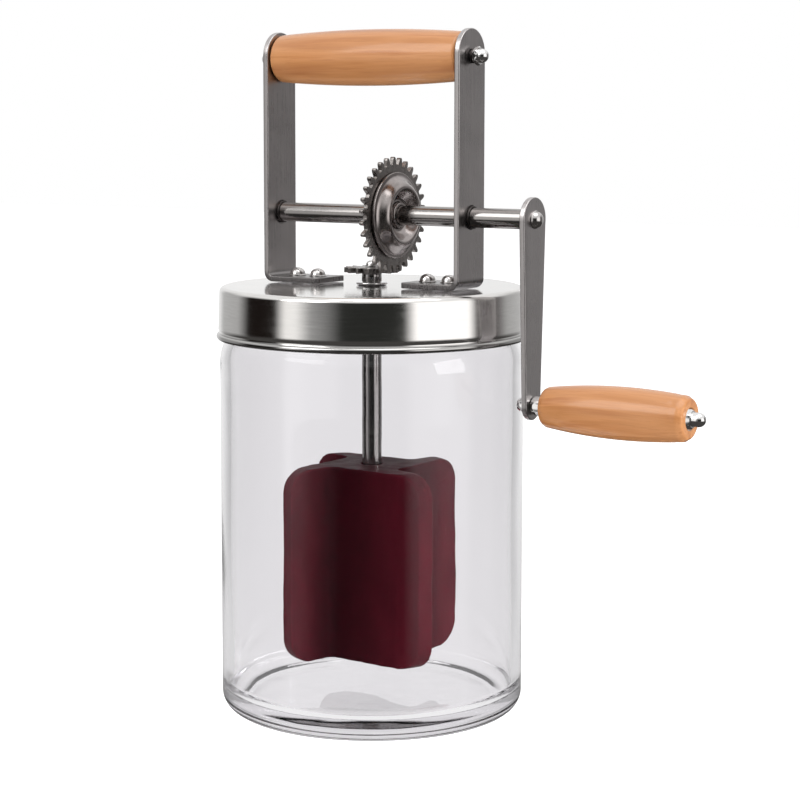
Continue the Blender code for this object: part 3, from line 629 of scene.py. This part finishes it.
def dome_rivet(name, node, matrix, base, body):
    """Domed head on a flat brim, with its shank and a flattened tail; base is the brim's seat."""
    low, high = box(node)
    axis = 0 if matrix is ALONG_X else 2
    top = high[axis]
    tail = low[axis]
    rise = top - base
    profile = [(0, top)]
    for degrees in range(9, 82, 9):
        turn = math.radians(degrees)
        profile.append((RIVET_DOME * math.sin(turn), base + 0.55 + (rise - 0.55) * math.cos(turn)))
    brim = [(RIVET_DOME + 0.05, base + 0.62), (RIVET_BRIM - 0.35, base + 0.5, 0.1),
            (RIVET_BRIM, base + 0.3, 0.15), (RIVET_BRIM, base)]
    profile += filleted(brim, False, 3) + [(RIVET_SHANK, base)]
    if axis == 0:
        profile += filleted([(RIVET_SHANK, tail + 0.3), (RIVET_SHANK - 0.3, tail)]) + [(0, tail)]
    else:
        profile += [(RIVET_SHANK, tail + 1.1), (2.75, tail + 1.1), (2.8, tail + 0.9), (2.5, tail + 0.15),
                    (0, tail)]
    centre = middle(node)
    shift = Matrix.Translation((0, 0, centre.z)) if axis == 0 else Matrix.Translation((centre.x, 0, 0))
    piece(name, lathe(profile, SMALL), shift @ matrix, LOOKS["rivet"], body, [node])


def make_stand():
    for side, word in ((-1, "left"), (1, "right")):
        node = f"{word}_upright"
        piece(f"{word}_bar", upright_shape(side), UPRIGHT, LOOKS["bars"], "lid", [node],
              flat_sides=True)
        for where in ("inner", "outer"):
            rivet = f"foot_rivet_{word}_{where}"
            dome_rivet(f"rivet_{word}_{where}", rivet, UPRIGHT, box(node)[0].z + BAR + RIVET_GAP, "lid")
        bush = f"{word}_shaft_bush"
        low, high = box(bush)
        sleeve = (high.z - low.z) / 2
        corners = [(SHAFT_BORE, high.x, 0.15), (sleeve, high.x, 0.12), (sleeve, low.x, 0.12),
                   (SHAFT_BORE, low.x, 0.15)]
        form = lathe(filleted(corners, True, 3), SMALL, True)
        place = Matrix.Translation((0, 0, middle(bush).z)) @ ALONG_X
        piece(f"{word}_bush", form, place, LOOKS["dark"], "lid", [bush])


def hexagon(across):
    """A shape for lathe that keeps the radius inside a hexagon of that corner radius."""
    flat = across * math.cos(math.radians(30))

    def shape(radius, height, turn):
        away = (turn % math.radians(60)) - math.radians(30)
        return min(radius, flat / math.cos(away))
    return shape


def cap_nut(name, node, side, hex_length, body):
    """Domed hex nut along X; its seat faces away from side."""
    low, high = box(node)
    seat = low.x if side > 0 else high.x
    length = high.x - low.x
    neck = length - NUT_DOME
    profile = [(0, length)]
    for degrees in range(10, 100, 10):
        angle = math.radians(degrees)
        profile.append((NUT_DOME * math.sin(angle), neck + NUT_DOME * math.cos(angle)))
    profile += [(NUT_DOME, neck), (NUT_DOME - 0.12, hex_length + 0.15), (NUT_DOME, hex_length)]
    profile += [(2.85, hex_length - 0.05), (NUT_CORNER, hex_length - 0.38), (NUT_CORNER, 0.3), (2.95, 0)]
    profile += [(NUT_BORE, 0), (NUT_BORE, neck), (0, neck + 0.2)]
    form = lathe(profile, SMALL, shape=hexagon(NUT_CORNER))
    centre = middle(node)
    turn = Matrix.Rotation(math.radians(90) * side, 4, "Y")
    piece(name, form, Matrix.Translation((seat, 0, centre.z)) @ turn, LOOKS["bright"], body, [node])


def along_x_ring(name, node, inner, material, body, edge=0.15):
    low, high = box(node)
    outer = (high.z - low.z) / 2
    corners = [(inner, high.x, edge), (outer, high.x, edge), (outer, low.x, edge), (inner, low.x, edge)]
    form = lathe(filleted(corners, True, 3), SMALL, True)
    piece(name, form, Matrix.Translation((0, 0, middle(node).z)) @ ALONG_X, material, body, [node])


def make_handle():
    low, high = box("handle_grip")
    half = high.x
    big = (high.z - low.z) / 2
    rounding = 1.3
    end = HANDLE_END - rounding
    side = []
    for i in range(49):
        t = 1 - 2 * i / 48
        side.append((HANDLE_END + (big - HANDLE_END) * (1 - t * t), t * (half - rounding)))
    top = arc(end, half - rounding, rounding, 90, 0, 6)
    bottom = arc(end, rounding - half, rounding, 0, -90, 6)
    profile = [(PIN_HOLE, half), (end - 0.4, half)] + top + side[1:-1]
    profile += bottom + [(end - 0.4, -half), (PIN_HOLE, -half)]
    form = lathe(profile, ROUND, True)
    place = Matrix.Translation((0, 0, middle("handle_grip").z)) @ ALONG_X
    piece("carrying_grip", form, place, LOOKS["handle_wood"], "lid", ["handle_grip"])
    for side_sign, word in ((-1, "left"), (1, "right")):
        along_x_ring(f"spacer_{word}", f"handle_spacer_{word}", PIN_HOLE, LOOKS["dark"], "lid")
        cap_nut(f"handle_cap_{word}", f"handle_nut_{word}", side_sign, 1.6, "lid")


def make_lid_bush():
    low, high = box("lid_bush")
    sleeve, flange = 4.9, high.x
    under = low.z + 1.2
    corners = [(POST_BORE, high.z, 0.1), (sleeve, high.z, 0.12), (sleeve, under), (flange, under, 0.2),
               (flange, low.z, 0.3), (POST_BORE, low.z, 0.15)]
    form = lathe(filleted(corners, True, 3), SMALL, True)
    piece("bush", form, UPRIGHT, LOOKS["dark"], "lid", ["lid_bush"])


# ---------------------------------------------------------------- crank

def groove(radius, bottom, start, end, play=0.2):
    """A ring's groove in a shaft's profile, a little wider than the ring from start to end."""
    return [(radius, start + play), (bottom, start + play), (bottom, end - play), (radius, end - play)]


def make_crank_shaft():
    low, high = box("crank_shaft")
    radius = SHAFT_RADIUS
    chamfer = 0.45
    socket, socket_end = 2.05, high.x - 5.5
    profile = [(0, socket_end), (socket, socket_end)]
    profile += filleted([(socket, high.x - 1), (socket, high.x, 0.1), (radius - chamfer, high.x, 0.1),
                         (radius, high.x - chamfer, 0.2), (radius, high.x - 2)], False, 3)
    for node in ("shaft_ring_right", "shaft_ring_left"):
        ring_low, ring_high = box(node)
        profile += groove(radius, SHAFT_GROOVE, ring_high.x, ring_low.x)
    profile += filleted([(radius, low.x + 1.5), (radius, low.x + chamfer, 0.2),
                         (radius - chamfer, low.x, 0.1), (0, low.x)], False, 3)
    form = lathe(profile, ROUND)
    place = Matrix.Translation((0, 0, middle("crank_shaft").z)) @ ALONG_X
    piece("crank_axle", form, place, LOOKS["shaft"], "crank", ["crank_shaft"])
    for word in ("shaft_ring_right", "shaft_ring_left"):
        along_x_ring("stop_" + word, word, RING_BORE, LOOKS["dark"], "crank")


def toothed(teeth, root, tip, widths, first):
    """Outline of rounded teeth: corners smoothed by a short fillet."""
    shoulder = root + 0.72 * (tip - root)
    stations = [(root, -widths[0], 0.35), (shoulder, -widths[1], 1.2), (tip, -widths[2], 0.6),
                (tip, widths[2], 0.6), (shoulder, widths[1], 1.2), (root, widths[0], 0.35)]
    points = []
    for i in range(teeth):
        middle_turn = math.radians(first + 360 * i / teeth)
        for radius, width, corner in stations:
            turn = middle_turn + width / 2 / radius
            points.append((radius * math.cos(turn), radius * math.sin(turn), corner))
    return filleted(points, True, 3)


def make_wheel():
    low, high = box("drive_gear")
    outline = toothed(WHEEL_TEETH, WHEEL_ROOT, WHEEL_TIP, WHEEL_TOOTH, 0)
    form = plate([outline, circle(WHEEL_HOLE, 48)], high.x - low.x, TOOTH_EDGE)
    place = Matrix.Translation((middle("drive_gear").x, 0, middle("crank_shaft").z)) @ ALONG_X
    piece("gear_wheel", form, place, LOOKS["gear"], "crank", ["drive_gear"],
          flat_sides=True)


def make_dish():
    """Cover disc with a ring-shaped bulge."""
    low, high = box("gear_dish")
    bulge = high.x - low.x - DISH_SHEET

    def height(radius):
        away = abs(radius - DISH_CREST)
        return 0.0 if away >= DISH_SPREAD else bulge * (1 + math.cos(math.pi * away / DISH_SPREAD)) / 2

    start, end = WHEEL_HOLE + 0.3, DISH_RIM - 0.8
    radii = [start + (end - start) * i / 44 for i in range(45)]
    front = [(r, DISH_SHEET + height(r)) for r in radii]
    back = [(r, height(r)) for r in reversed(radii)]
    edge = filleted([(DISH_RIM - 0.6, DISH_SHEET), (DISH_RIM, DISH_SHEET, 0.35), (DISH_RIM, 0, 0.2),
                     (DISH_RIM - 0.6, 0)], False, 4)
    profile = [(WHEEL_HOLE, DISH_SHEET)] + front + edge + back + [(WHEEL_HOLE, 0)]
    form = lathe(profile, ROUND, True)
    place = Matrix.Translation((low.x, 0, middle("crank_shaft").z)) @ ALONG_X
    piece("wheel_dish", form, place, LOOKS["dish"], "crank", ["gear_dish"])


def make_hub():
    """Flanged sleeve behind the wheel, whose end shows in the dish."""
    low, high = box("gear_hub")
    bore, spigot, flange = 3.6, 4.6, (high.z - low.z) / 2
    step = low.x + 2.1
    corners = [(bore, high.x, 0.1), (spigot, high.x, 0.5), (spigot, step, 0.15), (flange, step, 0.25),
               (flange, low.x, 0.6), (bore, low.x, 0.1)]
    form = lathe(filleted(corners, True, 4), ROUND, True)
    place = Matrix.Translation((0, 0, middle("crank_shaft").z)) @ ALONG_X
    piece("wheel_hub", form, place, LOOKS["dish"], "crank", ["gear_hub"])


def make_arm():
    low, high = box("crank_arm")
    axis_z = middle("crank_shaft").z
    throw = axis_z - middle("grip_bolt").z
    top_r, end_r = high.z - axis_z, axis_z - throw - low.z
    lean = math.degrees(math.asin((top_r - end_r) / throw))
    outline = arc(0, 0, top_r, 90 - lean, 270 + lean, 48)
    outline += arc(throw, 0, end_r, -90 + lean, 90 - lean, 32)
    holes = [circle(RIVET_HOLE, 24), circle(PIN_HOLE, 24, throw)]
    form = plate([outline] + holes, high.x - low.x, EDGE)
    place = Matrix.Translation((middle("crank_arm").x, 0, axis_z)) @ ALONG_X
    piece("arm", form, place, LOOKS["arm"], "crank", ["crank_arm"], flat_sides=True)
    dome_rivet("arm_rivet", "crank_rivet", ALONG_X, high.x + RIVET_GAP, "crank")


def make_pin_nuts():
    """The nuts on the pin that carries the crank's grip."""
    cap_nut("grip_cap_outer", "grip_end_nut", 1, 2.6, "crank")
    cap_nut("grip_cap_inner", "grip_bolt_nut", -1, 1.5, "crank")
    low, high = box("grip_lock_nut")
    profile = [(PIN_HOLE, high.x), (2.9, high.x), (NUT_CORNER, high.x - 0.3), (NUT_CORNER, low.x + 0.3),
               (2.9, low.x), (PIN_HOLE, low.x)]
    form = lathe(profile, SMALL, True, hexagon(NUT_CORNER))
    place = Matrix.Translation((0, 0, middle("grip_lock_nut").z)) @ ALONG_X
    piece("lock_nut", form, place, LOOKS["bright"], "crank", ["grip_lock_nut"])


def grip_radius(t):
    """Radius of the crank's grip, from its start (0) to its outer end (1)."""
    return GRIP_START + GRIP_GROWTH * t + 4 * GRIP_CROWN * t * (1 - t)


def make_grip():
    low, high = box("crank_grip")
    length = high.x - low.x
    floor = high.x - GRIP_RECESS_DEPTH
    end_r = grip_radius(1)
    profile = [(GRIP_BORE, floor), (GRIP_RECESS - 0.15, floor), (GRIP_RECESS, floor + 0.2),
               (GRIP_RECESS, high.x - 0.25), (GRIP_RECESS + 0.25, high.x), (end_r - 1.5, high.x)]
    profile += arc(end_r - 1.5, high.x - 1.1, 1.1, 90, 15, 6)
    for i in range(61):
        t = 0.968 - 0.94 * i / 60
        radius = grip_radius(t)
        radius -= 0.16 * math.exp(-((t - 0.925) / 0.006) ** 2)
        profile.append((radius, low.x + t * length))
    start_r = grip_radius(0)
    profile += arc(start_r - 1.4, low.x + 1.4, 1.4, -5, -90, 6) + [(GRIP_BORE, low.x)]
    form = lathe(profile, ROUND, True)
    place = Matrix.Translation((0, 0, middle("crank_grip").z)) @ ALONG_X
    grip = piece("turning_grip", form, place, LOOKS["grip_wood"], "grip", ["crank_grip"])
    grip.visible_glossy = False


# ---------------------------------------------------------------- beater

def make_post():
    low, high = box("beater_shaft")
    radius = POST_RADIUS
    shoulder = box("pinion")[0].z - 0.3
    profile = [(0, high.z), (SPIGOT, high.z), (SPIGOT, shoulder)]
    profile += filleted([(SPIGOT + 0.1, shoulder), (radius, shoulder, 0.3), (radius, shoulder - 1.2)],
                        False, 3)
    for node in ("thrust_ring", "retaining_ring"):
        ring_low, ring_high = box(node)
        profile += groove(radius, POST_GROOVE, ring_high.z, ring_low.z)
    profile += filleted([(radius, low.z + 2), (radius, low.z, 0.4), (0, low.z)], False, 3)
    form = lathe(profile, ROUND)
    piece("post", form, UPRIGHT, LOOKS["post"], "beater", ["beater_shaft"])


def make_collars():
    for name, node in (("thrust_collar", "thrust_ring"), ("retaining_collar", "retaining_ring")):
        low, high = box(node)
        corners = [(COLLAR_BORE, high.z, 0.1), (high.x, high.z, 0.25), (high.x, low.z, 0.2),
                   (COLLAR_BORE, low.z, 0.1)]
        form = lathe(filleted(corners, True, 3), SMALL, True)
        piece(name, form, UPRIGHT, LOOKS["bright"], "beater", [node])


def make_pinion():
    low, high = box("pinion")
    outline = toothed(PINION_TEETH, PINION_ROOT, PINION_TIP, PINION_TOOTH, 180 / PINION_TEETH)
    form = plate([outline, circle(PINION_HOLE, 24)], high.z - low.z, TOOTH_EDGE)
    place = Matrix.Translation((0, 0, (low.z + high.z) / 2))
    piece("small_gear", form, place, LOOKS["gear"], "beater", ["pinion"],
          flat_sides=True)


def make_pinion_nut():
    low, high = box("pinion_nut")
    base, top = low.z, high.z
    dome = 2.1
    profile = [(0, top)]
    for degrees in range(10, 91, 10):
        angle = math.radians(degrees)
        profile.append((dome * math.sin(angle), base + 0.5 + (top - base - 0.5) * math.cos(angle)))
    profile += [(2.4, base + 0.42), (2.4, base), (1.45, base), (1.45, top - 0.6), (0, top - 0.6)]
    piece("small_gear_cap", lathe(profile, SMALL), UPRIGHT, LOOKS["bright"], "beater", ["pinion_nut"])


def paddle_plan():
    """Plan of the vanes, with rounded roots; each vane has one side that slopes to its neighbour's root."""
    slope = (VANE_ROOT + VANE_BACK) / VANE_END
    back = slope * (VANE_REACH - VANE_END) - VANE_BACK
    points = []
    for i in range(VANES):
        turn = math.radians(VANE_TURN + 360 / VANES * i)
        corners = [(VANE_REACH, back, 0.0), (VANE_REACH, VANE_FRONT, 0.0),
                   (VANE_ROOT, 0.0, VANE_ROOT_ROUND)]
        for along, aside, corner in corners:
            points.append((along * math.cos(turn) - aside * math.sin(turn),
                           along * math.sin(turn) + aside * math.cos(turn), corner))
    return filleted(points, True, 6)


def loose(form, matrix, name):
    """A plain object that modifiers can work on before it becomes a piece."""
    bmesh.ops.transform(form, matrix=matrix, verts=form.verts)
    bmesh.ops.recalc_face_normals(form, faces=form.faces)
    mesh = bpy.data.meshes.new(name)
    form.to_mesh(mesh)
    form.free()
    obj = bpy.data.objects.new(name, mesh)
    bpy.context.scene.collection.objects.link(obj)
    return obj


def make_paddle():
    low, high = box("paddle")
    top, bottom = high.z, low.z
    floor = top - PADDLE_SOCKET_DEPTH
    corner = PADDLE_CORNER
    side = PADDLE_RADIUS - corner
    blank = [(0, floor), (PADDLE_SOCKET, floor), (PADDLE_SOCKET, top)]
    blank += arc(side, top - corner, corner, 90, 0, 14)
    blank += arc(side, bottom + corner, corner, 0, -90, 14) + [(0, bottom)]
    body = loose(lathe(blank, ROUND), UPRIGHT, "paddle_blank")
    plan = plate([paddle_plan()], top - bottom + 10, 0.01)
    cutter = loose(plan, Matrix.Translation((0, 0, (top + bottom) / 2)), "paddle_cutter")
    cut = body.modifiers.new("cut", "BOOLEAN")
    cut.operation, cut.solver, cut.object = "INTERSECT", "EXACT", cutter
    remesh = body.modifiers.new("remesh", "REMESH")
    remesh.mode, remesh.voxel_size = "VOXEL", 0.42
    soften = body.modifiers.new("soften", "SMOOTH")
    soften.iterations, soften.factor = 7, 0.5
    graph = bpy.context.evaluated_depsgraph_get()
    mesh = bpy.data.meshes.new_from_object(body.evaluated_get(graph))
    form = bmesh.new()
    form.from_mesh(mesh)
    bpy.data.meshes.remove(mesh)
    for extra in (body, cutter):
        bpy.data.objects.remove(extra, do_unlink=True)
    form.normal_update()
    for vert in form.verts:
        x, y, z = vert.co
        if math.hypot(x, y) < PADDLE_SOCKET + 1.5:
            continue
        wave = noise.noise(Vector((x / 11, y / 11, z / 14)))
        wave += 0.5 * noise.noise(Vector((x / 4, y / 4, z / 5)))
        vert.co += vert.normal * (0.22 * wave)
    piece("paddle_vanes", form, UPRIGHT, LOOKS["paddle"], "beater", ["paddle"])


# ---------------------------------------------------------------- stage

def make_floor():
    bpy.ops.mesh.primitive_grid_add(x_subdivisions=2, y_subdivisions=2, size=6.0,
                                    location=(0, 0, -0.0002))
    floor = bpy.context.object
    floor.name = "floor"
    n = surface("floor_white")
    soft = n.noise(n.place((3, 3, 3)), 1.0, 2.0, 0.5)
    n.set(Base_Color=n.ramp(soft, [(0.3, 0.93), (0.7, 0.95)]), Roughness=0.7, Specular_IOR_Level=0.2)
    seen = n.add("LightPath").outputs["Is Camera Ray"]
    n.set(Emission_Color=(1.0, 1.0, 1.0), Emission_Strength=n.math("MULTIPLY", seen, 0.5))
    floor.data.materials.append(n.material)
    floor.visible_glossy = False
    floor.visible_transmission = False


def make_world():
    """White for the camera; for reflections, a studio of soft boxes and dark gaps round the camera."""
    world = bpy.data.worlds.new("studio")
    bpy.context.scene.world = world
    world.use_nodes = True
    tree = world.node_tree
    tree.nodes.clear()
    n = Nodes(tree)
    way = n.add("TexCoord").outputs["Generated"]
    turned = n.add("Mapping", {"Vector": way, "Rotation": (0, 0, math.radians(-CAMERA_TURN))})
    parts = n.add("SeparateXYZ", {"Vector": turned.outputs[0]})
    angle = n.math("ARCTAN2", parts.outputs["X"], n.math("MULTIPLY", parts.outputs["Y"], -1.0))
    around = n.span(angle, -math.pi, math.pi, 0.0, 1.0)

    def at(degrees):
        """Where an angle round the camera's view lies on the ramp; plus is the photograph's right."""
        return (degrees + 180) / 360

    # White behind the object; from there by the left: a black gap, a narrow soft box, the dark front
    # where the camera is, a wide soft box and a dark gap.
    light, bright = (1.05, 1.04, 1.03), (1.40, 1.38, 1.37)
    black, dim = (0.010, 0.007, 0.006), (0.024, 0.025, 0.023)
    stops = [(at(-180), 0.95), (at(-158), 0.85), (at(-146), 0.50), (at(-118), 0.46), (at(-104), black),
             (at(-76), black), (at(-67), light), (at(-58), light), (at(-46), 0.36), (at(-34), 0.22),
             (at(-22), dim), (at(24), dim), (at(33), bright), (at(76), bright),
             (at(84), (0.11, 0.10, 0.10)), (at(108), (0.16, 0.15, 0.15)), (at(120), 0.42),
             (at(146), 0.52), (at(160), 0.9)]
    bands = n.ramp(around, stops)
    height = n.span(parts.outputs["Z"], -1.0, 1.0, 0.0, 1.0)
    path = n.add("LightPath")
    # Below the horizon, light through the glass finds white behind the object and grey in front of it.
    through = path.outputs["Is Transmission Ray"]
    behind = n.ramp(around, [(at(-180), 1.0), (at(-110), 1.0), (at(-80), 0.0), (at(80), 0.0),
                             (at(110), 1.0)])
    under_glass = n.mix(behind, (0.16, 0.155, 0.155), (0.95, 0.95, 0.95))
    below = n.mix(through, (0.06, 0.057, 0.055), under_glass)
    mirrored = n.mix(n.ramp(height, [(0.34, 1.0), (0.43, 0.0)]), bands, below)
    mirrored = n.mix(n.ramp(height, [(0.62, 0.0), (0.78, 1.0)]), mirrored, (0.95, 0.95, 0.95))
    # Through the glass, all light but that reflected exactly once finds a pale, even surround.
    turned_once = n.math("COMPARE", path.outputs["Glossy Depth"], 1.0, 0.5)
    inside = n.math("MULTIPLY", through, n.math("SUBTRACT", 1.0, turned_once))
    mirrored = n.mix(n.math("MULTIPLY", inside, 0.85), mirrored, (0.90, 0.89, 0.90))
    soft = n.ramp(height, [(0.0, 0.30), (0.5, 0.47), (1.0, 0.80)])
    shiny = n.math("MAXIMUM", path.outputs["Is Glossy Ray"], through)
    colour = n.mix(shiny, soft, mirrored)
    colour = n.mix(path.outputs["Is Camera Ray"], colour, (1.0, 1.0, 1.0))
    back = n.add("Background", {"Color": colour, "Strength": 1.0})
    out = n.add("OutputWorld")
    tree.links.new(back.outputs[0], out.inputs["Surface"])


def make_light(name, where, size, power, aim=(0, 0, 0.12), mirrored=True):
    data = bpy.data.lights.new(name, "AREA")
    data.shape = "RECTANGLE"
    data.size, data.size_y = size
    data.energy = power
    light = bpy.data.objects.new(name, data)
    bpy.context.scene.collection.objects.link(light)
    light.location = where
    light.visible_glossy = mirrored
    light.rotation_euler = (Vector(aim) - Vector(where)).to_track_quat("-Z", "Y").to_euler()


def make_camera():
    data = bpy.data.cameras.new("camera")
    data.lens = CAMERA_LENS
    data.sensor_width = 36.0
    data.shift_x, data.shift_y = CAMERA_SHIFT
    data.clip_start, data.clip_end = 0.01, 20.0
    camera = bpy.data.objects.new("camera", data)
    bpy.context.scene.collection.objects.link(camera)
    turn = math.radians(CAMERA_TURN)
    camera.location = (CAMERA_AWAY_M * math.sin(turn), -CAMERA_AWAY_M * math.cos(turn), CAMERA_HEIGHT_M)
    camera.rotation_euler = (math.radians(90 - CAMERA_PITCH), 0, turn)
    bpy.context.scene.camera = camera


make_jar()
make_gasket()
make_lid()
make_stand()
make_handle()
make_lid_bush()
make_crank_shaft()
make_wheel()
make_dish()
make_hub()
make_arm()
make_pin_nuts()
make_grip()
make_post()
make_collars()
make_pinion()
make_pinion_nut()
make_paddle()
for name, look in (("handle_rod", "shaft"), ("grip_bolt", "shaft")):
    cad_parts[name].data.materials.clear()
    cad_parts[name].data.materials.append(LOOKS[look])
make_floor()
make_world()
make_light("key", (-0.35, -0.9, 0.85), (0.7, 0.7), 4.4)
make_light("top", (0.25, -0.1, 1.1), (0.8, 0.8), 3.8)
make_light("side", (0.87, 0.10, 0.30), (0.4, 0.4), 4.2, (0, 0, 0.06), mirrored=False)
make_camera()
bpy.context.scene.view_settings.view_transform = "Standard"
# Light turns many times inside the jar's thick base.
cycles = bpy.context.scene.cycles
cycles.max_bounces, cycles.glossy_bounces, cycles.transmission_bounces = 24, 16, 20
